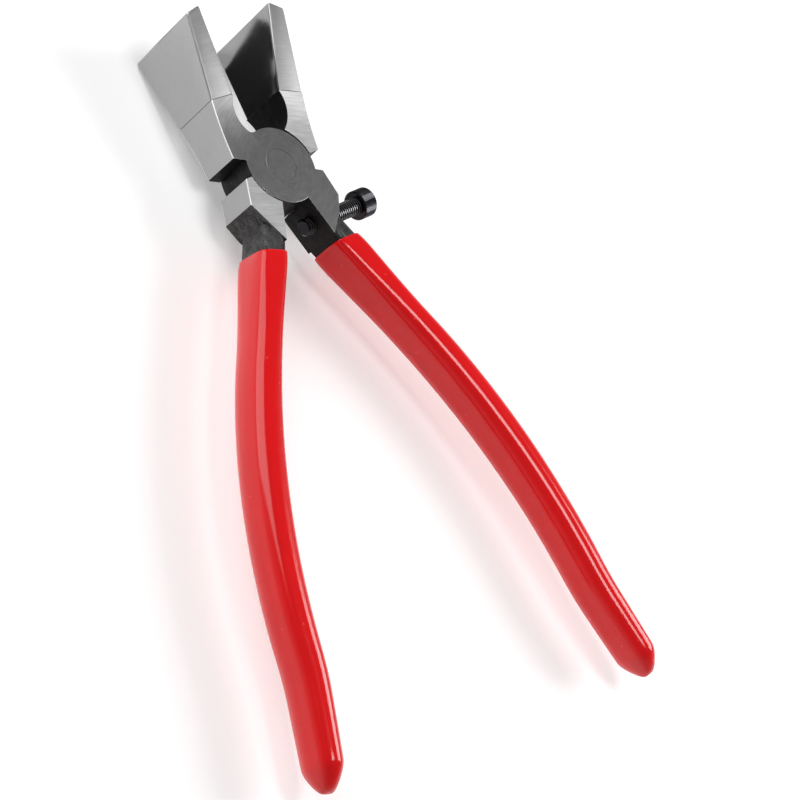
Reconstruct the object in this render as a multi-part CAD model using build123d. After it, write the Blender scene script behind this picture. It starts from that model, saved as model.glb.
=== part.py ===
"""Running pliers for glass and tile: two lap-jointed forged levers with wide flared jaw plates,
a flush pivot rivet, an adjustable stop screw and dipped grips.

Frame: +Z runs up the pivot's axis, +Y points to the jaws, and +X to the handle of the front lever.
The origin is on the pivot's axis, in the plane of the rear cheek that the tool can be laid on.
Each lever is drawn upright, as it stands when the jaws are parallel, about its own middle plane,
and is then swung open. The rear lever is the same forging turned half a turn about Y.
"""
from build123d import *
from math import cos, degrees, hypot, radians, sin
import os

# Joint
JOINT_THICKNESS = 13.0      # across the two ground cheeks
DISC_RADIUS = 11.4          # each half-lap disc
LAP_GAP = 0.06              # oil gap between the two discs
SEAM_GAP = 0.35             # between a disc and the shoulders that curve around it
REST_HALF_ANGLE = 9.35      # each lever from parallel, as the tool lies open

# Rivet, peened into a countersink in each cheek and ground flush
RIVET_RADIUS = 4.0
RIVET_HEAD_FLARE = 0.9
RIVET_HEAD_DEPTH = 1.1
RIVET_RUNNING_GAP = 0.05

# Jaw of a lever, from the pivot's axis
JAW_REACH = 47.5            # to the inner edge of the tip
JAW_TIP_DROP = 1.3          # the tip's outer edge stands this much lower
JAW_HALF_GAP = 4.5          # from the jaw's inner face to the centre line, jaws parallel
JAW_TIP_WIDTH = 28.5        # along the pivot's axis
JAW_TIP_THICKNESS = 5.3
JAW_EDGE_RADIUS = 0.8       # rounding of the plate's edges
PLATE_SEAM_REACH = 22.4     # where the jaw plate is brazed to the forging
PLATE_SEAM_WIDTH = 17.0
PLATE_SEAM_THICKNESS = 8.2
JAW_SHOULDER_OUT = 14.45    # outer corner of the jaw's underside
JAW_SHOULDER_UP = 5.8
ARCH_RADIUS = 8.9           # relief between the jaws and the joint
ARCH_FILLET = 2.5           # where the relief runs out into the lever's own disc

# Tang: the square shoulder between the joint and the handle
TANG_NOTCH_ANGLE = -21.5    # where the shoulder leaves the disc, from +X
TANG_TOP = (13.1, -5.2)
TANG_OUTER = (13.7, -12.9)
TANG_HEEL = (10.6, -17.6)   # where the shoulder falls back to the shank
TANG_TIP = (4.9, -22.9)
TANG_ROOT_ANGLE = -75.2     # where the inner face meets the disc

# Shank and dipped grip
GRIP_WALL = 0.6
GRIP_START = 25.0           # from the pivot's axis down to the edge of the dip
GRIP_START_OUT = 9.14       # the handle's centre there, from the centre line
GRIP_SPLAY = 18.6           # lean of the handle where it starts
GRIP_STRAIGHT = 32.3        # straight stretch
GRIP_BOW_RADIUS = 218.0     # then bowed back to parallel
GRIP_BOW_ANGLE = 21.2
GRIP_FLICK_RADIUS = 91.8    # then flicked out again towards the end
GRIP_FLICK_ANGLE = 7.3
GRIP_LENGTH = 147.6         # along the handle from the edge of the dip
GRIP_SIZES = (              # (share of the length, width, thickness) of the outside of the dip
    (0.0, 9.5, 14.1),
    (0.14, 9.5, 14.1),
    (0.3, 10.2, 13.9),
    (0.48, 10.4, 13.8),
    (0.68, 10.3, 13.5),
    (0.85, 9.5, 13.2),
    (1.0, 8.3, 12.4),
)
GRIP_CORNER = 3.7           # rounding of the section
GRIP_NOSE = 8.0             # length of the blunt pointed end
NOSE_TAPER = ((0.2, 0.93), (0.45, 0.74), (0.7, 0.52), (0.9, 0.31), (1.0, 0.15))   # (share of it, size)
NOSE_KEPT_WIDTH = 0.2       # share of the width that the taper leaves alone
NOSE_CORNER = 0.46          # most that a corner takes of the shorter side
DIP_END_WALLS = 2.0         # thickness of the dip over the shank's end, in walls
SHANK_ROOT = 9.0            # how far the shank runs up into the tang
DIP_RUN_UP = 6.0            # cut back to the edge of the dip
HANDLE_STEPS = 11           # even sections down to the nose

# Stop screw, M5 socket head cap
SCREW_RADIUS = 2.5
SCREW_THREAD_DEPTH = 0.43
SCREW_PITCH = 0.8
SCREW_LENGTH = 22.0         # under the head
SCREW_TIP_CHAMFER = 0.5
SCREW_RUNNING_GAP = 0.05
SCREW_HEAD_LIP = 1.75       # how far the head stands out past the thread
SCREW_HEAD_LENGTH = 5.0
SCREW_HEAD_EDGE = 0.4
SCREW_NECK_LENGTH = 0.8     # plain run-out under the head
SCREW_SOCKET_ACROSS = 4.0
SCREW_SOCKET_DEPTH = 2.6
SCREW_DROP = 17.0           # where its axis crosses the tang's inner face, below the pivot
SCREW_TILT = 2.4            # its head end stands this much higher
SCREW_PROUD = 2.4           # the tip stands out of the tang's inner face by this much

HALF = JOINT_THICKNESS / 2
BIG = 400.0


def polar(radius, angle):
    return (radius * cos(radians(angle)), radius * sin(radians(angle)))


def plan(points):
    """Closed straight-sided outline in the plane of the levers."""
    return make_face(Polyline(*points, close=True))


def prism(face, low, high):
    return extrude(Pos(0, 0, low) * face, high - low)


# ---------------------------------------------------------------- jaw

def flare_start():
    """Height where the cheek starts to flare, so that the arc meets the plate's straight flare."""
    slope = flare_slope()
    rise = (PLATE_SEAM_WIDTH - JOINT_THICKNESS) / 2
    return PLATE_SEAM_REACH - 2 * rise / slope


def flare_slope():
    return (JAW_TIP_WIDTH - PLATE_SEAM_WIDTH) / 2 / (JAW_REACH - PLATE_SEAM_REACH)


def side_profile():
    """Jaw seen along X: cheeks parallel at the joint, then flaring to the tip."""
    start = flare_start()
    seam = PLATE_SEAM_WIDTH / 2
    tip = JAW_TIP_WIDTH / 2
    right = [Line((-HALF, -DISC_RADIUS), (HALF, -DISC_RADIUS)), Line((HALF, -DISC_RADIUS), (HALF, start))]
    right.append(TangentArc((HALF, start), (seam, PLATE_SEAM_REACH), tangent=(0, 1)))
    right.append(Line((seam, PLATE_SEAM_REACH), (tip, JAW_REACH)))
    top = Line((tip, JAW_REACH), (-tip, JAW_REACH))
    left = [Line((-tip, JAW_REACH), (-seam, PLATE_SEAM_REACH))]
    left.append(TangentArc((-HALF, start), (-seam, PLATE_SEAM_REACH), tangent=(0, 1)))
    left.append(Line((-HALF, start), (-HALF, -DISC_RADIUS)))
    outline = make_face(Wire([*right, top, *left]))
    across = Plane(origin=(BIG / 2, 0, 0), x_dir=(0, 0, 1), z_dir=(-1, 0, 0))
    return extrude(across * outline, BIG)


def arch_centre():
    """Centre of the relief: its circle passes the plate's inner lower edge and goes lower."""
    drop = PLATE_SEAM_REACH - (PLATE_SEAM_REACH + DISC_RADIUS) / 2
    across = (ARCH_RADIUS ** 2 - drop ** 2) ** 0.5
    return (-JAW_HALF_GAP + across, PLATE_SEAM_REACH - drop)


def jaw_outline():
    """Whole jaw in plan, with its root run in to the pivot."""
    return plan([
        (0, 0),
        (-JAW_SHOULDER_OUT, JAW_SHOULDER_UP),
        (-JAW_HALF_GAP - PLATE_SEAM_THICKNESS, PLATE_SEAM_REACH),
        (-JAW_HALF_GAP - JAW_TIP_THICKNESS, JAW_REACH - JAW_TIP_DROP),
        (-JAW_HALF_GAP, JAW_REACH),
        (-JAW_HALF_GAP, PLATE_SEAM_REACH),
        (-JAW_HALF_GAP, DISC_RADIUS),
    ])


def whole_jaw():
    jaw = prism(jaw_outline(), -BIG / 2, BIG / 2) & side_profile()
    return jaw - Pos(*arch_centre()) * Cylinder(ARCH_RADIUS, BIG)


def above_seam():
    return Pos(0, PLATE_SEAM_REACH + BIG / 2, 0) * Box(BIG, BIG, BIG)


def jaw_plate():
    plate = whole_jaw() & above_seam()
    seam_edges = plate.edges().group_by(Axis.Y)[0]
    return fillet(plate.edges() - seam_edges, JAW_EDGE_RADIUS)


# ---------------------------------------------------------------- tang

def tang_inner_face_x(y):
    """X of the tang's inner face at a height: it runs straight from the disc to the tip."""
    root_x, root_y = polar(DISC_RADIUS, TANG_ROOT_ANGLE)
    tip_x, tip_y = TANG_TIP
    return root_x + (y - root_y) / (tip_y - root_y) * (tip_x - root_x)


def tang_block():
    notch = polar(DISC_RADIUS, TANG_NOTCH_ANGLE)
    root = polar(DISC_RADIUS, TANG_ROOT_ANGLE)
    outline = plan([(0, 0), notch, TANG_TOP, TANG_OUTER, TANG_HEEL, TANG_TIP, root])
    return prism(outline, -HALF, HALF)


# ---------------------------------------------------------------- handle

def handle_station(along):
    """Centre (x, y) and lean in degrees of the handle at a distance along it from the dip's edge."""
    x, y, lean = GRIP_START_OUT, -GRIP_START, GRIP_SPLAY
    bow = GRIP_BOW_RADIUS * radians(GRIP_BOW_ANGLE)
    flick = GRIP_FLICK_RADIUS * radians(GRIP_FLICK_ANGLE)
    spans = [
        (GRIP_STRAIGHT, 0),
        (bow, -degrees(1 / GRIP_BOW_RADIUS)),
        (flick, degrees(1 / GRIP_FLICK_RADIUS)),
        (BIG, 0),
    ]
    left = along
    for length, turn in spans:
        run = min(left, length)
        middle = lean + turn * run / 2
        chord = run
        if turn and run > 0:
            half_turn = radians(turn * run / 2)
            chord = run * sin(half_turn) / half_turn
        x += chord * sin(radians(middle))
        y -= chord * cos(radians(middle))
        lean += turn * run
        left -= run
        if left <= 0:
            break
    return x, y, lean


def handle_section(along, width, thickness, corner):
    x, y, lean = handle_station(along)
    across = (cos(radians(lean)), sin(radians(lean)), 0)
    down = (sin(radians(lean)), -cos(radians(lean)), 0)
    plane = Plane(origin=(x, y, 0), x_dir=across, z_dir=down)
    return plane * RectangleRounded(width, thickness, corner)


def handle_size(along):
    """Width and thickness of the outside of the dip at a distance along the handle."""
    share = min(max(along / GRIP_LENGTH, 0), 1)
    for (start, wide, thick), (end, next_wide, next_thick) in zip(GRIP_SIZES, GRIP_SIZES[1:]):
        if share <= end:
            part = (share - start) / (end - start)
            return (wide + (next_wide - wide) * part, thick + (next_thick - thick) * part)


def handle_solid(start, inset):
    """Outside of the dip (no inset) or the shank, lofted through even sections to a blunt nose."""
    nose = GRIP_LENGTH - GRIP_NOSE
    corner = GRIP_CORNER - inset
    sections = []
    for step in range(HANDLE_STEPS + 1):
        along = start + (nose - start) * step / HANDLE_STEPS
        width, thickness = handle_size(along)
        sections.append(handle_section(along, width - 2 * inset, thickness - 2 * inset, corner))
    full_width, full_thickness = handle_size(nose)
    nose_length = GRIP_NOSE - inset * DIP_END_WALLS
    nose_sections = [sections[-1]]
    for share, size in NOSE_TAPER:
        width = (full_width - 2 * inset) * (NOSE_KEPT_WIDTH + (1 - NOSE_KEPT_WIDTH) * size)
        thickness = (full_thickness - 2 * inset) * size
        nose_corner = min(corner, NOSE_CORNER * min(width, thickness))
        nose_sections.append(handle_section(nose + nose_length * share, width, thickness, nose_corner))
    return loft(sections) + loft(nose_sections)


def shank():
    """Bare shank, cut back flush with the tang's inner face above the dip."""
    edge = -GRIP_START
    recess = plan([
        (tang_inner_face_x(edge), edge),
        (tang_inner_face_x(0), 0),
        (-BIG, 0),
        (-BIG, edge),
    ])
    return handle_solid(-SHANK_ROOT, GRIP_WALL) - prism(recess, -BIG, BIG)


def grip():
    below_dip = Pos(0, -GRIP_START - BIG / 2, 0) * Box(BIG, BIG, BIG)
    return (handle_solid(-DIP_RUN_UP, 0) & below_dip) - shank()


# ---------------------------------------------------------------- rivet

def rivet_shape(extra):
    """Rivet with both peened heads; extra is added to every radius."""
    length = JOINT_THICKNESS
    pin = Cylinder(RIVET_RADIUS + extra, length)
    top = Cone(RIVET_RADIUS + extra, RIVET_RADIUS + RIVET_HEAD_FLARE + extra, RIVET_HEAD_DEPTH)
    upper = Pos(0, 0, HALF - RIVET_HEAD_DEPTH / 2) * top
    return pin + upper + mirror(upper, Plane.XY)


# ---------------------------------------------------------------- stop screw

def screw_axis():
    """Plane on the tang's inner face, its Z along the screw towards the head."""
    direction = (cos(radians(SCREW_TILT)), sin(radians(SCREW_TILT)), 0)
    return Plane(origin=(tang_inner_face_x(-SCREW_DROP), -SCREW_DROP, 0), x_dir=(0, 0, 1), z_dir=direction)


def screw_profile():
    """Half section in (radius, height) from the tip: rolled thread drawn as rings, then the head."""
    root = SCREW_RADIUS - SCREW_THREAD_DEPTH
    head = SCREW_RADIUS + SCREW_HEAD_LIP
    points = [(0, 0), (SCREW_RADIUS - SCREW_TIP_CHAMFER, 0), (root, SCREW_TIP_CHAMFER / 2)]
    turns = int((SCREW_LENGTH - SCREW_NECK_LENGTH) / SCREW_PITCH) - 1
    flat = SCREW_PITCH / 8
    for turn in range(turns):
        base = SCREW_TIP_CHAMFER + turn * SCREW_PITCH
        points.append((root, base))
        points.append((SCREW_RADIUS, base + SCREW_PITCH / 2 - flat / 2))
        points.append((SCREW_RADIUS, base + SCREW_PITCH / 2 + flat / 2))
    points.append((root, SCREW_TIP_CHAMFER + turns * SCREW_PITCH))
    points.append((root, SCREW_LENGTH))
    points.append((head, SCREW_LENGTH))
    points.append((head, SCREW_LENGTH + SCREW_HEAD_LENGTH - SCREW_HEAD_EDGE))
    points.append((head - SCREW_HEAD_EDGE, SCREW_LENGTH + SCREW_HEAD_LENGTH))
    points.append((0, SCREW_LENGTH + SCREW_HEAD_LENGTH))
    return points


def stop_screw():
    face = make_face(Polyline(*[(radius, 0, height) for radius, height in screw_profile()], close=True))
    screw = revolve(face, Axis.Z)
    socket_top = SCREW_LENGTH + SCREW_HEAD_LENGTH
    hexagon = RegularPolygon(SCREW_SOCKET_ACROSS / 2, 6, major_radius=False)
    screw -= Pos(0, 0, socket_top - SCREW_SOCKET_DEPTH) * extrude(hexagon, SCREW_SOCKET_DEPTH + 1)
    return screw_axis() * Pos(0, 0, -SCREW_PROUD) * screw


def screw_hole():
    return screw_axis() * Cylinder(SCREW_RADIUS + SCREW_RUNNING_GAP, 4 * TANG_OUTER[0])


# ---------------------------------------------------------------- lever

def own_disc():
    """The half of the joint on this lever's own side."""
    return Pos(0, 0, (HALF + LAP_GAP / 2) / 2) * Cylinder(DISC_RADIUS, HALF - LAP_GAP / 2)


def circles_meet(centre_a, radius_a, centre_b, radius_b):
    """The meeting point of two circles that lies to the left, going from centre a to centre b."""
    gap_x = centre_b[0] - centre_a[0]
    gap_y = centre_b[1] - centre_a[1]
    gap = hypot(gap_x, gap_y)
    along = (radius_a ** 2 - radius_b ** 2 + gap ** 2) / (2 * gap)
    aside = (radius_a ** 2 - along ** 2) ** 0.5
    x = centre_a[0] + (along * gap_x - aside * gap_y) / gap
    y = centre_a[1] + (along * gap_y + aside * gap_x) / gap
    return (x, y)


def toward(start, end, distance):
    """Point at a distance from start on the way to end."""
    gap = hypot(end[0] - start[0], end[1] - start[1])
    share = distance / gap
    return (start[0] + (end[0] - start[0]) * share, start[1] + (end[1] - start[1]) * share)


def arch_fillet():
    """Web that rounds the corner between the relief and the lever's own disc."""
    arch = arch_centre()
    corner = circles_meet((0, 0), DISC_RADIUS, arch, ARCH_RADIUS)
    middle = circles_meet((0, 0), DISC_RADIUS + ARCH_FILLET, arch, ARCH_RADIUS - ARCH_FILLET)
    on_disc = toward((0, 0), middle, DISC_RADIUS)
    on_arch = toward(arch, middle, ARCH_RADIUS)
    behind = toward(arch, corner, ARCH_RADIUS + ARCH_FILLET)
    beside = toward(arch, on_arch, ARCH_RADIUS + ARCH_FILLET)
    inside = toward((0, 0), on_disc, DISC_RADIUS - ARCH_FILLET)
    web = plan([middle, on_disc, inside, behind, beside, on_arch]) - Pos(*middle) * Circle(ARCH_FILLET)
    return prism(web, LAP_GAP / 2, HALF)


def lever():
    """Forging in its own frame: jaw at -X, handle at +X, its disc on the +Z side."""
    root = (whole_jaw() - above_seam()) + tang_block()
    other_half = Pos(0, 0, (LAP_GAP / 2 - BIG) / 2) * Cylinder(DISC_RADIUS + SEAM_GAP, BIG + LAP_GAP / 2)
    return (root - other_half) + own_disc() + arch_fillet() + shank()


def front_place(shape):
    return Pos(0, 0, HALF) * Rot(0, 0, REST_HALF_ANGLE) * shape


def rear_place(shape):
    return Pos(0, 0, HALF) * Rot(0, 0, -REST_HALF_ANGLE) * Rot(0, 180, 0) * shape


def build():
    forging = lever()
    plate = jaw_plate()
    dip = grip()
    return {
        "front_lever": front_place(forging - screw_hole() - rivet_shape(0)),
        "front_jaw_plate": front_place(plate),
        "front_grip": front_place(dip),
        "stop_screw": front_place(stop_screw()),
        "pivot_rivet": front_place(rivet_shape(0)),
        "rear_lever": rear_place(forging - rivet_shape(RIVET_RUNNING_GAP)),
        "rear_jaw_plate": rear_place(plate),
        "rear_grip": rear_place(dip),
    }


os.makedirs("parts", exist_ok=True)
for node, solid in build().items():
    solid.label = node
    export_step(solid, f"parts/{node}.step")
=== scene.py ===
"""Running pliers for glass and tile, lying open on a pale bench: two lap-jointed forged levers with
ground cheeks, brazed-on flared jaw plates, a flush rivet, a stop screw and red dipped grips.
"""
import math

import bmesh
import bpy
from mathutils import Matrix, Vector, noise


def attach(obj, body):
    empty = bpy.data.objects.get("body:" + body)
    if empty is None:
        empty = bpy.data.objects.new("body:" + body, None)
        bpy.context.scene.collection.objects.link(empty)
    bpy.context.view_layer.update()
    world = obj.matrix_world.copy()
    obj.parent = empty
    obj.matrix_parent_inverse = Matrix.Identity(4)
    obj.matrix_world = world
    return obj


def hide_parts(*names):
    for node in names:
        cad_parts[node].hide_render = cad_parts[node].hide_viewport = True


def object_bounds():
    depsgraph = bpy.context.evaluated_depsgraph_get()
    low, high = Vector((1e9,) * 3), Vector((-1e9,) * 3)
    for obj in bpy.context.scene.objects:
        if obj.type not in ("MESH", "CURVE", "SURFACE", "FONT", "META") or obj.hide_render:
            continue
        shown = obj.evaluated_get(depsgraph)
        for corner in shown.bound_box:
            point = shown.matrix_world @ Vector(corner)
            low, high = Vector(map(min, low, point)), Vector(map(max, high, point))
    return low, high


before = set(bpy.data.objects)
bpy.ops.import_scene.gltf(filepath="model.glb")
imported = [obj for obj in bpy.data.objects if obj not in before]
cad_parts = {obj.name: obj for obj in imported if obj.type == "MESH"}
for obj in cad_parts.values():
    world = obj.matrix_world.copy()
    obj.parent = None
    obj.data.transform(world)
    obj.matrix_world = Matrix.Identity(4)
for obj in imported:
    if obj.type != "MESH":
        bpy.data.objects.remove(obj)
cad_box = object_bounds()

MM = 0.001

# ---- Both halves of the tool
# Each half is the same forging. It is drawn upright about its own middle plane, with its jaw at
# -X and its handle at +X, and swung open about the rivet. The rear half is turned over.
HALF_OPENING = math.radians(9.35)
MIDDLE_HEIGHT = 6.5 * MM
CHEEK = 6.5 * MM            # from a lever's middle plane to its ground cheek

lift = Matrix.Translation((0, 0, MIDDLE_HEIGHT))
place = {
    "front": lift @ Matrix.Rotation(HALF_OPENING, 4, "Z"),
    "rear": lift @ Matrix.Rotation(-HALF_OPENING, 4, "Z") @ Matrix.Rotation(math.pi, 4, "Y"),
}

# ---- Forged levers
# Drop-forged carbon steel. The cheeks, the jaw's back and the tang's back are ground bright, and
# everything else keeps the black scale of the forging. The inner faces, and the unground faces from the
# tang up to the jaw, are painted near-black as painted shade. Every ground edge is broken with a stone,
# and the stoned bevels are painted near-white as a painted highlight.
TANG_BACK = 13.0 * MM       # past this the tang's back is ground
TANG_OUTER = Vector((13.7, -12.9, 0)) * MM
TANG_TIP = Vector((4.9, -22.9, 0)) * MM
JAW_BACK_START = 5.0 * MM
DIP_EDGE = -24.5 * MM
STONED_EDGE = 0.2 * MM      # between two ground faces
FORGED_EDGE = 0.04 * MM
BURIED_INSET = 0.9 * MM     # the shank is drawn this much thinner where the dip hides it
BURIED_RUN = 25 * MM
RIVET_CLEAR = 5.4 * MM      # inside this radius the peened rivet keeps the edge closed
EDGE_ANGLE = math.radians(25)
FLAT_ANGLE = math.radians(12)


def linear(code):
    """sRGB hex code to the linear colour that shaders use."""
    channels = [int(code[start:start + 2], 16) / 255 for start in (1, 3, 5)]
    return [c / 12.92 if c <= 0.04045 else ((c + 0.055) / 1.055) ** 2.4 for c in channels] + [1]


def add(tree, kind, inputs=None, **settings):
    """Adds a node, with its settings, and its inputs as values or as links from other nodes."""
    made = tree.nodes.new(kind)
    for name, value in settings.items():
        setattr(made, name, value)
    for socket, value in (inputs or {}).items():
        if isinstance(value, bpy.types.NodeSocket):
            tree.links.new(value, made.inputs[socket])
        else:
            made.inputs[socket].default_value = value
    return made


def start_material(name, **sockets):
    """A material whose shader has these values on its own sockets."""
    material = bpy.data.materials.new(name)
    material.use_nodes = True
    shader = material.node_tree.nodes["Principled BSDF"]
    for socket, value in sockets.items():
        shader.inputs[socket.replace("_", " ")].default_value = value
    return material, material.node_tree, shader


def grey_mix(tree, factor, dark, light):
    """Colour that runs from dark to light with a factor."""
    ramp = add(tree, "ShaderNodeValToRGB", {"Fac": factor})
    ramp.color_ramp.elements[0].color = linear(dark)
    ramp.color_ramp.elements[1].color = linear(light)
    return ramp


def ground_cheek_steel():
    """Surface-ground carbon steel: a rotary grinder leaves fine broken arcs around the joint and a
    low sheen. The real marks are 0.05 mm apart, and are drawn 0.3 mm apart so that they show."""
    material, tree, shader = start_material("ground_cheek_steel", Metallic=1.0)
    mark = 0.3 * MM
    coords = add(tree, "ShaderNodeTexCoord")
    parts = add(tree, "ShaderNodeSeparateXYZ", {"Vector": coords.outputs["Object"]})
    flat = add(tree, "ShaderNodeVectorMath", {0: coords.outputs["Object"], 1: (1, 1, 0)}, operation="MULTIPLY")
    radius = add(tree, "ShaderNodeVectorMath", {0: flat.outputs[0]}, operation="LENGTH")
    ring = add(tree, "ShaderNodeMath", {0: radius.outputs["Value"], 1: 1 / mark}, operation="MULTIPLY")
    angle = add(tree, "ShaderNodeMath", {0: parts.outputs["X"], 1: parts.outputs["Y"]}, operation="ARCTAN2")
    broken = add(tree, "ShaderNodeMath", {0: angle.outputs[0], 1: 3.0}, operation="MULTIPLY")
    laid = add(tree, "ShaderNodeCombineXYZ", {"X": ring.outputs[0], "Y": broken.outputs[0]})
    arcs = add(tree, "ShaderNodeTexNoise", {"Vector": laid.outputs["Vector"], "Scale": 1.0, "Detail": 4, "Roughness": 0.65})
    patches = add(tree, "ShaderNodeTexNoise", {"Vector": coords.outputs["Object"], "Scale": 1 / (2.5 * MM)})
    both = add(tree, "ShaderNodeMix", {"Factor": 0.2, "A": arcs.outputs["Fac"], "B": patches.outputs["Fac"]})
    spread = add(tree, "ShaderNodeMapRange", {"Value": both.outputs["Result"], "From Min": 0.2, "From Max": 0.8})
    colour = grey_mix(tree, spread.outputs["Result"], "#8a8a8a", "#b8b8b8")
    rough = add(tree, "ShaderNodeMapRange", {"Value": spread.outputs["Result"], "To Min": 0.3, "To Max": 0.4})
    bump = add(tree, "ShaderNodeBump", {"Height": arcs.outputs["Fac"], "Strength": 0.2, "Distance": 0.008 * MM})
    tree.links.new(colour.outputs["Color"], shader.inputs["Base Color"])
    tree.links.new(rough.outputs["Result"], shader.inputs["Roughness"])
    tree.links.new(bump.outputs["Normal"], shader.inputs["Normal"])
    return material


def black_forging_scale(name, dark, light):
    """Drop-forged steel left as it came from the die: black scale, dull and pitted, with metal
    showing through in specks where it was knocked. The pits are about 0.4 mm across, and they run
    together into streaks down the shank."""
    material, tree, shader = start_material(name, Metallic=0.5)
    coords = add(tree, "ShaderNodeTexCoord")
    drawn = add(tree, "ShaderNodeMapping", {"Vector": coords.outputs["Object"], "Scale": (1, 0.35, 1)})
    pits = add(tree, "ShaderNodeTexNoise",
               {"Vector": coords.outputs["Object"], "Scale": 1 / (0.45 * MM), "Detail": 3, "Roughness": 0.6})
    streaks = add(tree, "ShaderNodeTexNoise", {"Vector": drawn.outputs["Vector"], "Scale": 1 / (1.5 * MM), "Detail": 2})
    both = add(tree, "ShaderNodeMix", {"Factor": 0.45, "A": pits.outputs["Fac"], "B": streaks.outputs["Fac"]})
    spread = add(tree, "ShaderNodeMapRange", {"Value": both.outputs["Result"], "From Min": 0.36, "From Max": 0.66})
    colour = grey_mix(tree, spread.outputs["Result"], dark, light)
    rough = add(tree, "ShaderNodeMapRange", {"Value": spread.outputs["Result"], "To Min": 0.62, "To Max": 0.4})
    bump = add(tree, "ShaderNodeBump", {"Height": both.outputs["Result"], "Strength": 1.0, "Distance": 0.22 * MM})
    tree.links.new(colour.outputs["Color"], shader.inputs["Base Color"])
    tree.links.new(rough.outputs["Result"], shader.inputs["Roughness"])
    tree.links.new(bump.outputs["Normal"], shader.inputs["Normal"])
    return material


def satin_belt_steel(name, turn, along, across, light="#b2b2b2", rough_from=0.32):
    """Belt-ground steel: fine straight scratches give a satin sheen. They are 0.05 mm apart in the
    real tool, and are drawn as far apart as shows. turn lays them along or across the part."""
    material, tree, shader = start_material(name, Metallic=1.0)
    coords = add(tree, "ShaderNodeTexCoord")
    laid = add(tree, "ShaderNodeMapping", {"Vector": coords.outputs["Object"], "Rotation": (0, 0, -turn)})
    drawn = add(tree, "ShaderNodeVectorMath", {0: laid.outputs["Vector"], 1: (1 / across, 1 / along, 1 / across)},
                operation="MULTIPLY")
    lines = add(tree, "ShaderNodeTexNoise", {"Vector": drawn.outputs[0], "Scale": 1.0, "Detail": 4, "Roughness": 0.6})
    patches = add(tree, "ShaderNodeTexNoise", {"Vector": coords.outputs["Object"], "Scale": 1 / (7 * MM)})
    both = add(tree, "ShaderNodeMix", {"Factor": 0.3, "A": lines.outputs["Fac"], "B": patches.outputs["Fac"]})
    spread = add(tree, "ShaderNodeMapRange", {"Value": both.outputs["Result"], "From Min": 0.2, "From Max": 0.8})
    colour = grey_mix(tree, spread.outputs["Result"], "#a2a2a2", light)
    rough = add(tree, "ShaderNodeMapRange",
                {"Value": both.outputs["Result"], "To Min": rough_from, "To Max": rough_from + 0.16})
    bump = add(tree, "ShaderNodeBump", {"Height": lines.outputs["Fac"], "Strength": 0.3, "Distance": 0.015 * MM})
    tree.links.new(colour.outputs["Color"], shader.inputs["Base Color"])
    tree.links.new(rough.outputs["Result"], shader.inputs["Roughness"])
    tree.links.new(bump.outputs["Normal"], shader.inputs["Normal"])
    return material


def sharpen_and_smooth(bm):
    """Rounded faces shade smooth, and flat ones stay flat, because the edges between are sharp."""
    for face in bm.faces:
        face.smooth = True
    for edge in bm.edges:
        edge.smooth = edge.is_manifold and edge.calc_face_angle() < FLAT_ANGLE


def finish_piece(name, bm, materials, body, slot, *nodes):
    """Makes the piece's object, ties it to its body and hides the CAD nodes that it stands for."""
    mesh = bpy.data.meshes.new(name)
    bm.to_mesh(mesh)
    bm.free()
    for material in materials:
        mesh.materials.append(material)
    piece = bpy.data.objects.new(name, mesh)
    bpy.context.scene.collection.objects.link(piece)
    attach(piece, body)
    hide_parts(*nodes)
    return piece


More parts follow.
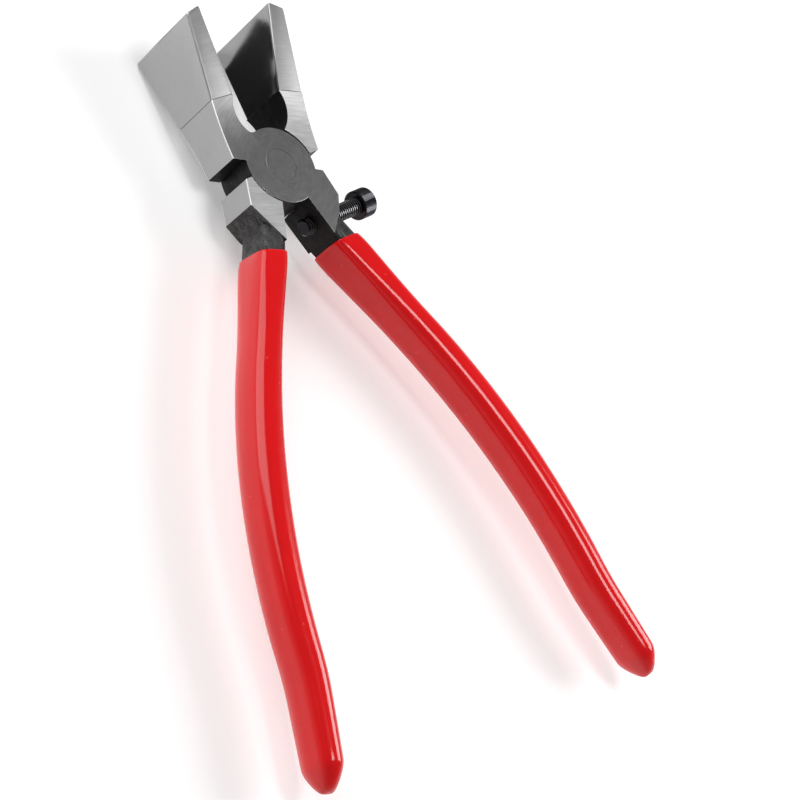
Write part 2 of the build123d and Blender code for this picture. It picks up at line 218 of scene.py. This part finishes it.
def forging(side):
    """Copy of a lever's CAD mesh with its edges broken and its faces told apart by their finish, with painted shade on
    the inner faces and recesses and a painted highlight on the stoned bevels.
    """
    bm = bmesh.new()
    bm.from_mesh(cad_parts[f"{side}_lever"].data)
    bmesh.ops.remove_doubles(bm, verts=bm.verts, dist=0.001 * MM)
    bmesh.ops.transform(bm, matrix=place[side].inverted(), verts=bm.verts)
    bmesh.ops.dissolve_limit(bm, angle_limit=math.radians(0.5), verts=bm.verts, edges=bm.edges)
    past_heel = (TANG_OUTER - TANG_TIP).cross(Vector((0, 0, 1))).normalized()
    low_cheek = [f for f in bm.faces if f.normal.z < -0.99 and f.calc_center_median().z < -0.99 * CHEEK]
    geometry = low_cheek + list({e for f in low_cheek for e in f.edges}) + list({v for f in low_cheek for v in f.verts})
    bmesh.ops.bisect_plane(bm, geom=geometry, plane_co=TANG_TIP, plane_no=past_heel, dist=0.001 * MM)
    for face in bm.faces:
        centre, normal = face.calc_center_median(), face.normal
        forged_heel = centre.z < 0 and (centre - TANG_TIP).dot(past_heel) > 0 and centre.y < 0
        if abs(normal.z) > 0.6 and abs(centre.z) > 0.99 * CHEEK and not forged_heel:
            face.material_index = 1 if centre.z > 0 else 3
        elif normal.x < -0.9 and centre.y > JAW_BACK_START and centre.x < -TANG_BACK + 3 * MM:
            face.material_index = 2
        elif normal.x > 0.9 and centre.x > TANG_BACK and centre.y > TANG_OUTER.y:
            face.material_index = 2
        # Faces that face local -X, and the unground faces from the tang up to the jaw, get the darker scale: painted
        # shade.
        elif (normal.x < -0.3 or centre.y > TANG_OUTER.y) and centre.y > 1.3 * DIP_EDGE:
            face.material_index = 4
        else:
            face.material_index = 0
    for vert in bm.verts:
        depth = min(max((DIP_EDGE - 3 * MM - vert.co.y) / BURIED_RUN, 0), 1)
        vert.co -= depth * BURIED_INSET * vert.normal
    for stoned, width in ((True, STONED_EDGE), (False, FORGED_EDGE)):
        chosen = []
        for edge in bm.edges:
            finishes = {f.material_index for f in edge.link_faces}
            open_edge = all(v.co.y > DIP_EDGE and v.co.xy.length > RIVET_CLEAR for v in edge.verts)
            if open_edge and 5 not in finishes and edge.calc_face_angle(0) > EDGE_ANGLE:
                if (finishes <= {1, 2, 3}) == stoned:
                    chosen.append(edge)
        made = bmesh.ops.bevel(bm, geom=chosen, offset=width, segments=2, profile=0.5, affect="EDGES", material=-1)
        # The stoned bevels get the near-white edge material: a painted highlight along each ground edge.
        if stoned:
            for face in made["faces"]:
                face.material_index = 5
    bmesh.ops.remove_doubles(bm, verts=bm.verts, dist=0.003 * MM)
    bmesh.ops.dissolve_degenerate(bm, dist=0.001 * MM, edges=bm.edges)
    bmesh.ops.transform(bm, matrix=place[side], verts=bm.verts)
    sharpen_and_smooth(bm)
    return bm


cheek_steel = ground_cheek_steel()
scale = black_forging_scale("black_forging_scale", "#101010", "#4e4e4e")
# Near-white, mostly unmetallic steel for the stoned bevels: a painted highlight.
edge_highlight_paint, _, _ = start_material("stoned_edge_painted_highlight", Metallic=0.2, Base_Color=linear("#fafafa"), Roughness=0.3)
# Darker copy of the forging scale: painted shade for the recesses, the arch and the inner faces.
scale_with_painted_shade = black_forging_scale("forging_scale_painted_shade", "#060606", "#161616")
belt_cheek = {
    "front": satin_belt_steel("satin_cheek_steel_front", HALF_OPENING, 0.35 * MM, 6 * MM, "#dcdcdc", 0.44),
    "rear": satin_belt_steel("satin_cheek_steel_rear", -HALF_OPENING, 0.35 * MM, 6 * MM, "#dcdcdc", 0.44),
}
back_steel = {
    "front": satin_belt_steel("satin_back_steel_front", HALF_OPENING, 9 * MM, 0.3 * MM),
    "rear": satin_belt_steel("satin_back_steel_rear", -HALF_OPENING, 9 * MM, 0.3 * MM),
}
for side in ("front", "rear"):
    materials = [scale, cheek_steel, back_steel[side], belt_cheek[side], scale_with_painted_shade, edge_highlight_paint]
    finish_piece(f"{side}_forging", forging(side), materials, f"{side}_half", "ground_forged_steel", f"{side}_lever")

# ---- Jaw plates
# Tool steel plates brazed on the jaws' roots, and flared to spread the load along the score. The
# back and sides are belt-ground satin, and the face that grips the glass is polished.
JAW_FACE = -4.5 * MM
PLATE_FOOT = 22.4 * MM
FOOT_BACK = -12.7 * MM
FOOT_HALF_WIDTH = 8.5 * MM
PLATE_TIP = 47.4 * MM
TIP_BACK = -9.8 * MM
TIP_DROP = 1.3 * MM
TIP_HALF_WIDTH = 14.17 * MM
PLATE_ROUNDING = 0.8 * MM
SEAM_CHAMFER = 0.14 * MM


def jaw_plate(side):
    """Tapered block from a cube's eight corners, with rounded edges and a fine groove at its foot."""
    bm = bmesh.new()
    bmesh.ops.create_cube(bm, size=2)
    flare = (TIP_HALF_WIDTH - FOOT_HALF_WIDTH) / (PLATE_TIP - PLATE_FOOT)
    for corner in bm.verts:
        back, tip, up = corner.co.x < 0, corner.co.y > 0, math.copysign(1, corner.co.z)
        x = (TIP_BACK if tip else FOOT_BACK) if back else JAW_FACE
        y = (PLATE_TIP - (TIP_DROP if back else 0)) if tip else PLATE_FOOT
        corner.co = (x, y, up * (FOOT_HALF_WIDTH + flare * (y - PLATE_FOOT)))
    for face in bm.faces:
        if face.normal.y < -0.9:
            foot = face
    seam = list(foot.edges)
    bmesh.ops.bevel(bm, geom=[e for e in bm.edges if e not in seam], offset=PLATE_ROUNDING, segments=5, profile=0.5,
                    affect="EDGES", material=-1)
    low = min(v.co.y for v in bm.verts)
    seam = [e for e in bm.edges if all(v.co.y < low + 0.01 * MM for v in e.verts)]
    bmesh.ops.bevel(bm, geom=seam, offset=SEAM_CHAMFER, segments=1, profile=0.5, affect="EDGES", material=-1)
    bm.normal_update()
    groove = low + 0.8 * SEAM_CHAMFER
    for face in bm.faces:
        if face.calc_center_median().y < groove:
            face.material_index = 3
        elif face.normal.x > 0.6:
            face.material_index = 1
        elif abs(face.normal.z) > 0.6:
            face.material_index = 2
    bmesh.ops.transform(bm, matrix=place[side], verts=bm.verts)
    bmesh.ops.recalc_face_normals(bm, faces=bm.faces)
    sharpen_and_smooth(bm)
    return bm


def polished_jaw_steel():
    """Tool steel polished on a fine wheel: nearly a mirror, with a little haze."""
    material, tree, shader = start_material("polished_jaw_steel", Metallic=1.0)
    coords = add(tree, "ShaderNodeTexCoord")
    haze = add(tree, "ShaderNodeTexNoise", {"Vector": coords.outputs["Object"], "Scale": 1 / (1.2 * MM), "Detail": 4})
    colour = grey_mix(tree, haze.outputs["Fac"], "#8a8a8a", "#989898")
    rough = add(tree, "ShaderNodeMapRange", {"Value": haze.outputs["Fac"], "To Min": 0.08, "To Max": 0.2})
    tree.links.new(colour.outputs["Color"], shader.inputs["Base Color"])
    tree.links.new(rough.outputs["Result"], shader.inputs["Roughness"])
    return material


polished = polished_jaw_steel()
for side, turn in (("front", HALF_OPENING), ("rear", -HALF_OPENING)):
    edge_steel = satin_belt_steel(f"satin_side_steel_{side}", turn, 0.35 * MM, 5 * MM, "#bcbcbc")
    finish_piece(f"{side}_flared_plate", jaw_plate(side), [back_steel[side], polished, edge_steel, scale],
                 f"{side}_half", "satin_jaw_steel", f"{side}_jaw_plate")

# ---- Pivot rivet
# Turned steel pin, peened into a countersink in each cheek and ground flush with it, so that only
# a hairline ring shows. It is held in the front lever, and the rear one turns on it.
RIVET_RADIUS = 4.0 * MM
RIVET_HEAD = 4.9 * MM
RIVET_HEAD_DEPTH = 1.1 * MM
RIVET_EDGE = 0.04 * MM


def spun(profile, steps):
    """Solid turned about Z from (radius, height) points, the first and last of them on the axis."""
    bm = bmesh.new()
    points = [bm.verts.new((radius, 0, height)) for radius, height in profile]
    edges = [bm.edges.new(pair) for pair in zip(points, points[1:])]
    bmesh.ops.spin(bm, geom=points + edges, cent=(0, 0, 0), axis=(0, 0, 1), angle=2 * math.pi, steps=steps,
                   use_merge=True)
    bmesh.ops.remove_doubles(bm, verts=bm.verts, dist=0.001 * MM)
    bmesh.ops.recalc_face_normals(bm, faces=bm.faces)
    return bm


head_wall = CHEEK - RIVET_HEAD_DEPTH
upper = [(RIVET_RADIUS, head_wall), (RIVET_HEAD - RIVET_EDGE, CHEEK - RIVET_EDGE),
         (RIVET_HEAD - 2 * RIVET_EDGE, CHEEK), (0, CHEEK)]
rivet = spun([(radius, -height) for radius, height in reversed(upper)] + upper, 64)
bmesh.ops.transform(rivet, matrix=place["front"], verts=rivet.verts)
sharpen_and_smooth(rivet)
finish_piece("flush_rivet", rivet, [cheek_steel], "front_half", "rivet_steel", "pivot_rivet")

# ---- Stop screw
# M5 socket head cap screw with a rolled thread, knurled head and hexagon socket, in oiled black
# oxide. It is screwed through the front lever's tang, and stops the handles from closing too far.
THREAD_RADIUS = 2.5 * MM
THREAD_DEPTH = 0.43 * MM
THREAD_PITCH = 0.8 * MM
SCREW_LENGTH = 22.0 * MM
HEAD_RADIUS = 4.25 * MM
HEAD_LENGTH = 5.0 * MM
HEAD_EDGE = 0.4 * MM
KNURL_DEPTH = 0.1 * MM
KNURL_TEETH = 56
SOCKET_ACROSS = 4.0 * MM
SOCKET_DEPTH = 2.6 * MM
SCREW_FOOT = Vector((3.913, -17.0, 0)) * MM
SCREW_TILT = math.radians(2.4)
SCREW_PROUD = 2.4 * MM


def rolled_thread():
    """Zigzag line spun once with a rise of one pitch, so that its turns join into a helix."""
    bm = bmesh.new()
    turns = round((SCREW_LENGTH + 2 * THREAD_PITCH) / THREAD_PITCH)
    root = THREAD_RADIUS - THREAD_DEPTH
    corners = []
    for turn in range(turns):
        low = (turn - 2) * THREAD_PITCH
        corners += [(root, low), (root, low + THREAD_PITCH / 4), (THREAD_RADIUS, low + THREAD_PITCH / 2),
                    (THREAD_RADIUS, low + THREAD_PITCH * 3 / 4)]
    corners.append((root, (turns - 2) * THREAD_PITCH))
    points = [bm.verts.new((radius, 0, height)) for radius, height in corners]
    edges = [bm.edges.new(pair) for pair in zip(points, points[1:])]
    steps = 48
    bmesh.ops.spin(bm, geom=points + edges, cent=(0, 0, 0), axis=(0, 0, 1), dvec=(0, 0, THREAD_PITCH / steps),
                   angle=2 * math.pi, steps=steps)
    bmesh.ops.remove_doubles(bm, verts=bm.verts, dist=0.002 * MM)
    for height, up in ((0.0, -1), (SCREW_LENGTH, 1)):
        bmesh.ops.bisect_plane(bm, geom=bm.verts[:] + bm.edges[:] + bm.faces[:], plane_co=(0, 0, height),
                               plane_no=(0, 0, up), clear_outer=True)
        bmesh.ops.remove_doubles(bm, verts=bm.verts, dist=0.01 * MM)
        bmesh.ops.holes_fill(bm, edges=[e for e in bm.edges if e.is_boundary and abs(e.verts[0].co.z - height) < 0.01 * MM])
    for vert in bm.verts:
        out = Vector((vert.co.x, vert.co.y)).length
        most = THREAD_RADIUS - 0.55 * MM + vert.co.z
        if out > most:
            vert.co.x *= most / out
            vert.co.y *= most / out
    bmesh.ops.recalc_face_normals(bm, faces=bm.faces)
    for face in bm.faces:
        # Faces on the thread's crest get the lighter crest material: a painted glint that makes the ridges show.
        face.material_index = all(v.co.xy.length > THREAD_RADIUS - 0.02 * MM for v in face.verts)
    return bm


def screw_head(bm):
    """Head drawn up in rings from a circle with a tooth at every other corner, and then the
    socket drawn down from a hexagon whose sides have as many corners."""
    before = set(bm.faces)
    corners = 2 * KNURL_TEETH + 8
    rings = []
    for height, inset, toothed in ((0, HEAD_EDGE, False), (HEAD_EDGE / 2, 0, True),
                                   (HEAD_LENGTH - HEAD_EDGE, 0, True), (HEAD_LENGTH, HEAD_EDGE, False)):
        ring = bmesh.ops.create_circle(bm, segments=corners, radius=HEAD_RADIUS - inset)["verts"]
        for index, vert in enumerate(ring):
            if toothed and index % 2:
                vert.co *= (HEAD_RADIUS - KNURL_DEPTH) / HEAD_RADIUS
            vert.co.z = SCREW_LENGTH + height
        rings.append(ring)
    for height, share in ((HEAD_LENGTH, 1.0), (HEAD_LENGTH - SOCKET_DEPTH, 1.0), (HEAD_LENGTH - 1.3 * SOCKET_DEPTH, 0.02)):
        ring = bmesh.ops.create_circle(bm, segments=corners, radius=SOCKET_ACROSS / 2)["verts"]
        for vert in ring:
            angle = math.atan2(vert.co.y, vert.co.x)
            to_flat = (angle + math.pi / 6) % (math.pi / 3) - math.pi / 6
            vert.co *= share / math.cos(to_flat)
            vert.co.z = SCREW_LENGTH + height
        rings.append(ring)
    for low, high in zip(rings, rings[1:]):
        loops = [e for e in bm.edges if set(e.verts) <= set(low) or set(e.verts) <= set(high)]
        bmesh.ops.bridge_loops(bm, edges=loops)
    for ring in (rings[0], rings[-1]):
        bmesh.ops.contextual_create(bm, geom=[e for e in bm.edges if set(e.verts) <= set(ring)])
    bmesh.ops.recalc_face_normals(bm, faces=[f for f in bm.faces if f not in before])


def oiled_black_oxide():
    """Black oxide on alloy steel, wiped with oil: near black, with a tight sheen on every crest."""
    material, tree, shader = start_material("oiled_black_oxide", Metallic=0.9)
    coords = add(tree, "ShaderNodeTexCoord")
    bloom = add(tree, "ShaderNodeTexNoise", {"Vector": coords.outputs["Object"], "Scale": 1 / (0.8 * MM), "Detail": 3})
    colour = grey_mix(tree, bloom.outputs["Fac"], "#1c1c1f", "#454549")
    rough = add(tree, "ShaderNodeMapRange", {"Value": bloom.outputs["Fac"], "To Min": 0.12, "To Max": 0.24})
    tree.links.new(colour.outputs["Color"], shader.inputs["Base Color"])
    tree.links.new(rough.outputs["Result"], shader.inputs["Roughness"])
    return material


# Lighter grey for the thread's crests: a painted glint, not wear.
crest_glint_paint, _, _ = start_material("thread_crest_painted_glint", Metallic=0.6, Base_Color=linear("#6e6e72"), Roughness=0.25)
screw = rolled_thread()
screw_head(screw)
screw_place = (place["front"] @ Matrix.Translation(SCREW_FOOT) @ Matrix.Rotation(SCREW_TILT, 4, "Z")
               @ Matrix.Rotation(math.pi / 2, 4, "Y") @ Matrix.Translation((0, 0, -SCREW_PROUD)))
bmesh.ops.transform(screw, matrix=screw_place, verts=screw.verts)
sharpen_and_smooth(screw)
finish_piece("cap_screw", screw, [oiled_black_oxide(), crest_glint_paint], "stop_screw", "black_oxide_steel", "stop_screw")

# ---- Dipped grips
# Red vinyl, dipped hot over the shanks in one glossy coat. Its upper edge is level with the surface
# of the bath and thins out on to the steel, and the end has a blunt point where it dripped off.
COAT = 0.6 * MM
GRIP_START = Vector((9.14, -25.0)) * MM
GRIP_SPLAY = math.radians(18.5)
GRIP_STRAIGHT = 32.3 * MM
BOW_RADIUS = 218.0 * MM
BOW_ANGLE = math.radians(21.2)
FLICK_RADIUS = 91.8 * MM
FLICK_ANGLE = math.radians(7.3)
GRIP_LENGTH = 147.6 * MM
GRIP_SIZES = ((0.0, 9.5, 14.1), (0.14, 9.5, 14.1), (0.3, 10.3, 14.2), (0.48, 10.6, 14.1), (0.68, 10.4, 13.8),
              (0.85, 9.5, 13.5), (1.0, 8.3, 12.6))     # share of the length, width and thickness in mm
EASING = 7 * MM             # each size is a mean over this far to both sides, so that no kink shows
SQUARENESS = (3.0, 0.75, 0.2)   # at the dip's edge, past SQUARE_RUN and at the end: 0 is an oval, and more is squarer
SQUARE_RUN = 30 * MM
NOSE = 7.6 * MM
NOSE_STEPS = ((0.0, 1.0), (0.08, 0.992), (0.16, 0.972), (0.25, 0.935), (0.35, 0.878), (0.46, 0.8), (0.57, 0.71),
              (0.68, 0.61), (0.78, 0.505), (0.86, 0.41), (0.92, 0.32), (0.965, 0.23), (0.99, 0.14), (1.0, 0.03))
NOSE_KEPT_WIDTH = 0.2
INNER_STEPS = 24
OUTER_STEPS = 64
RING_CORNERS = 88
LEVEL_RUN = 14 * MM
BATH_WAVE = 0.2 * MM
DIP_TILT = {"front": 0.0, "rear": -1.1 * MM}    # the rear half hung a little askew in the bath


def handle_at(along):
    """Centre and lean of the handle at a distance along it from the level edge of the dip."""
    centre, lean, left = GRIP_START.copy(), GRIP_SPLAY, along
    spans = ((GRIP_STRAIGHT, 0), (BOW_RADIUS * BOW_ANGLE, -1 / BOW_RADIUS),
             (FLICK_RADIUS * FLICK_ANGLE, 1 / FLICK_RADIUS), (1.0, 0))
    for length, bend in spans:
        run = min(left, length)
        half_turn = bend * run / 2
        chord = run * (math.sin(half_turn) / half_turn if abs(half_turn) > 1e-9 else 1)
        centre += chord * Vector((math.sin(lean + half_turn), -math.cos(lean + half_turn)))
        lean += 2 * half_turn
        left -= run
        if left <= 0:
            break
    return centre, lean


def handle_size(along):
    """Width and thickness of the outside of the coat, eased between the stations of GRIP_SIZES."""
    total = Vector((0, 0))
    for shift in (-1, -0.5, 0, 0.5, 1):
        share = min(max((along + shift * EASING) / GRIP_LENGTH, 0), 1)
        for low, high in zip(GRIP_SIZES, GRIP_SIZES[1:]):
            if low[0] <= share <= high[0]:
                part = (share - low[0]) / (high[0] - low[0])
                total += Vector(low[1:]).lerp(Vector(high[1:]), part)
                break
    return total / 5 * MM


def shape_ring(ring, along, inset, size, tilt):
    """Lays a ring of corners out as the handle's rounded section at a place along it."""
    centre, lean = handle_at(along)
    width, thickness = handle_size(min(along, GRIP_LENGTH - NOSE))
    half_width = (width / 2 - inset) * (NOSE_KEPT_WIDTH + (1 - NOSE_KEPT_WIDTH) * size)
    half_thick = (thickness / 2 - inset) * size
    near_edge = min(max(1 - along / SQUARE_RUN, 0), 1)
    share = min(max(1.6 * along / GRIP_LENGTH, 0), 1)
    held = SQUARENESS[1] + (SQUARENESS[2] - SQUARENESS[1]) * share
    power = 2 + (held + (SQUARENESS[0] - held) * near_edge ** 2) * size
    level = max(0, 1 - along / LEVEL_RUN)
    across = Vector((math.cos(lean), math.sin(lean), 0))
    down = Vector((math.sin(lean), -math.cos(lean), 0))
    for index, vert in enumerate(ring):
        turn = 2 * math.pi * (index + 0.5) / len(ring)
        out_x, out_y = math.cos(turn), math.sin(turn)
        reach = (abs(out_x) ** power + abs(out_y) ** power) ** (-1 / power)
        x = half_width * reach * out_x
        wave = BATH_WAVE * noise.noise(Vector((2 * out_x, 2 * out_y, 5)))
        slip = level * (x * math.tan(lean) + wave + tilt * reach * out_y)
        vert.co = centre.to_3d() + across * x + down * slip + Vector((0, 0, half_thick * reach * out_y))


def dipped_grip(side):
    """One skin drawn ring by ring: up the inside of the coat, over its lip and down the outside."""
    nose_start = GRIP_LENGTH - NOSE
    inner_end = GRIP_LENGTH - 2 * COAT
    stations = [(nose_start + share * (inner_end - nose_start), COAT, size) for share, size in reversed(NOSE_STEPS)]
    stations += [(nose_start * (1 - step / INNER_STEPS), COAT, 1.0) for step in range(1, INNER_STEPS)]
    stations += [(reach * MM, share * COAT, 1.0) for reach, share in
                 ((0.3, 1.0), (0.05, 0.97), (-0.04, 0.85), (-0.02, 0.7), (0.1, 0.58), (0.35, 0.48), (0.9, 0.36),
                  (1.8, 0.22), (3.2, 0.1), (5.0, 0.02))]
    lip_end = 5.0 * MM
    stations += [(lip_end + (nose_start - lip_end) * step / OUTER_STEPS, 0, 1.0) for step in range(1, OUTER_STEPS)]
    stations += [(nose_start + share * NOSE, 0, size) for share, size in NOSE_STEPS]
    bm = bmesh.new()
    ring = bmesh.ops.create_circle(bm, segments=RING_CORNERS, radius=MM)["verts"]
    edges = bm.edges[:]
    first = ring
    for index, (along, inset, size) in enumerate(stations):
        if index:
            drawn = bmesh.ops.extrude_edge_only(bm, edges=edges)["geom"]
            fresh = {g for g in drawn if isinstance(g, bmesh.types.BMVert)}
            edges = [g for g in drawn if isinstance(g, bmesh.types.BMEdge) and g.is_boundary]
            ring = [next(e.other_vert(vert) for e in vert.link_edges if e.other_vert(vert) in fresh) for vert in ring]
        shape_ring(ring, along, inset, size, DIP_TILT[side])
    for end in (first, ring):
        bmesh.ops.contextual_create(bm, geom=[e for e in bm.edges if e.verts[0] in end and e.verts[1] in end])
    bmesh.ops.transform(bm, matrix=place[side], verts=bm.verts)
    bmesh.ops.recalc_face_normals(bm, faces=bm.faces)
    for face in bm.faces:
        face.smooth = True
    return bm


def dipped_red_vinyl():
    """Plastisol vinyl cured from a dip: a saturated red with a wet gloss, a slow ripple from the
    bath, and pinhead bubbles under the skin."""
    material, tree, shader = start_material("dipped_red_vinyl", IOR=1.45, Subsurface_Weight=0.03,
                                            Subsurface_Scale=1.0 * MM)
    shader.inputs["Subsurface Radius"].default_value = (1.0, 0.2, 0.15)
    coords = add(tree, "ShaderNodeTexCoord")
    ripple = add(tree, "ShaderNodeTexNoise", {"Vector": coords.outputs["Object"], "Scale": 1 / (9 * MM), "Detail": 1})
    skin = add(tree, "ShaderNodeTexNoise", {"Vector": coords.outputs["Object"], "Scale": 1 / (1.2 * MM), "Detail": 2})
    cells = add(tree, "ShaderNodeTexVoronoi", {"Vector": coords.outputs["Object"], "Scale": 1 / (4.5 * MM)})
    bubbles = add(tree, "ShaderNodeMapRange",
                  {"Value": cells.outputs["Distance"], "From Min": 0.02, "From Max": 0.075, "To Min": 1.0, "To Max": 0.0})
    colour = grey_mix(tree, ripple.outputs["Fac"], "#cf1115", "#d91519")
    marked = add(tree, "ShaderNodeMix", {"Factor": bubbles.outputs["Result"], "A": colour.outputs["Color"],
                                         "B": linear("#f04a4c")}, data_type="RGBA")
    rough = add(tree, "ShaderNodeMapRange", {"Value": skin.outputs["Fac"], "To Min": 0.1, "To Max": 0.17})
    low = add(tree, "ShaderNodeBump", {"Height": ripple.outputs["Fac"], "Strength": 0.3, "Distance": 0.08 * MM})
    fine = add(tree, "ShaderNodeBump", {"Height": skin.outputs["Fac"], "Strength": 0.06, "Distance": 0.01 * MM,
                                        "Normal": low.outputs["Normal"]})
    tree.links.new(marked.outputs[2], shader.inputs["Base Color"])
    tree.links.new(rough.outputs["Result"], shader.inputs["Roughness"])
    tree.links.new(fine.outputs["Normal"], shader.inputs["Normal"])
    return material


vinyl = dipped_red_vinyl()
for side in ("front", "rear"):
    finish_piece(f"{side}_dipped_grip", dipped_grip(side), [vinyl], f"{side}_half", "dipped_vinyl", f"{side}_grip")

# ---- Bench, light and camera
# A white bench under an overhead softbox, a tall one behind the tool at the left and a small one
# at the right, in a dim room. The camera is a long lens, turned a little on its axis.
FLOOR_SIZE = 4.0
floor_mesh = bmesh.new()
bmesh.ops.create_grid(floor_mesh, x_segments=1, y_segments=1, size=FLOOR_SIZE)
bmesh.ops.translate(floor_mesh, vec=(0, 0, cad_box[0][2] - 0.1 * MM), verts=floor_mesh.verts)
mesh = bpy.data.meshes.new("bench")
floor_mesh.to_mesh(mesh)
floor_mesh.free()
opal_acrylic, _, _ = start_material("opal_light_table", Base_Color=linear("#f4f4f4"), Roughness=0.9,
                                   Emission_Color=linear("#ffffff"), Emission_Strength=0.17)
mesh.materials.append(opal_acrylic)
bench = bpy.data.objects.new("bench", mesh)
bpy.context.scene.collection.objects.link(bench)

# A black sheet under the jaws that only reflections see: it stands in for the shade that falls between the jaws, so the
# polished jaw face shows a painted shade. The camera, diffuse light and shadows do not see it.
CARD_CORNERS = ((10.6, 40.0), (6.0, 49.0), (-5.0, 66.0), (-26.0, 72.0), (-24.0, 60.0), (-13.0, 52.0),
                (-8.0, 20.0), (5.0, 15.0))
card_mesh = bmesh.new()
card_mesh.faces.new([card_mesh.verts.new((x * MM, y * MM, cad_box[0][2] - 0.05 * MM)) for x, y in CARD_CORNERS])
mesh = bpy.data.meshes.new("painted_shade_card")
card_mesh.normal_update()
card_mesh.to_mesh(mesh)
card_mesh.free()
painted_shade_paper, _, _ = start_material("painted_shade_card_paper", Base_Color=linear("#101010"), Roughness=0.8)
mesh.materials.append(painted_shade_paper)
card = bpy.data.objects.new("painted_shade_card", mesh)
bpy.context.scene.collection.objects.link(card)
card.visible_camera = False
card.visible_diffuse = False
card.visible_shadow = False

AIM = Vector((0.0, -60.0, 6.5)) * MM


def softbox(name, direction, distance, size, watts):
    """Area light that faces the tool."""
    lamp = bpy.data.lights.new(name, "AREA")
    lamp.shape = "RECTANGLE"
    lamp.size, lamp.size_y = size
    lamp.energy = watts
    light = bpy.data.objects.new(name, lamp)
    toward = Vector(direction).normalized()
    light.matrix_world = (Matrix.Translation(AIM + toward * distance)
                          @ toward.to_track_quat("Z", "Y").to_matrix().to_4x4())
    bpy.context.scene.collection.objects.link(light)


softbox("overhead_softbox", (0.0, -0.12, 1.0), 1.2, (0.38, 0.38), 4.6)
softbox("back_left_softbox", (-0.39, 0.77, 0.5), 1.0, (0.95, 0.85), 7.6)
softbox("right_softbox", (0.78, -0.2, 0.6), 1.0, (0.5, 0.45), 6.2)

world = bpy.data.worlds.new("dim_room")
world.use_nodes = True
sky = world.node_tree
heading = add(sky, "ShaderNodeTexCoord")
rise = add(sky, "ShaderNodeSeparateXYZ", {"Vector": heading.outputs["Generated"]})
fade = add(sky, "ShaderNodeMapRange", {"Value": rise.outputs["Z"], "From Min": 0.0, "From Max": 0.55,
                                       "To Min": 0.58, "To Max": 0.13}, interpolation_type="SMOOTHSTEP")
sky.nodes["Background"].inputs["Color"].default_value = linear("#ffffff")
sky.links.new(fade.outputs["Result"], sky.nodes["Background"].inputs["Strength"])
bpy.context.scene.world = world
bpy.context.scene.view_settings.view_transform = "Standard"

lens = bpy.data.cameras.new("long_lens")
lens.sensor_width = 36
lens.lens = 99.0
lens.clip_start = 0.01
camera = bpy.data.objects.new("camera", lens)
right = Vector((0.72307, -0.37998, 0.57688))
up = Vector((0.15633, 0.90346, 0.39914))
back = right.cross(up).normalized()
turned = Matrix((right, back.cross(right), back)).transposed().to_4x4()
camera.matrix_world = Matrix.Translation(Vector((-387.65, -188.04, 430.75)) * MM) @ turned
bpy.context.scene.collection.objects.link(camera)
bpy.context.scene.camera = camera
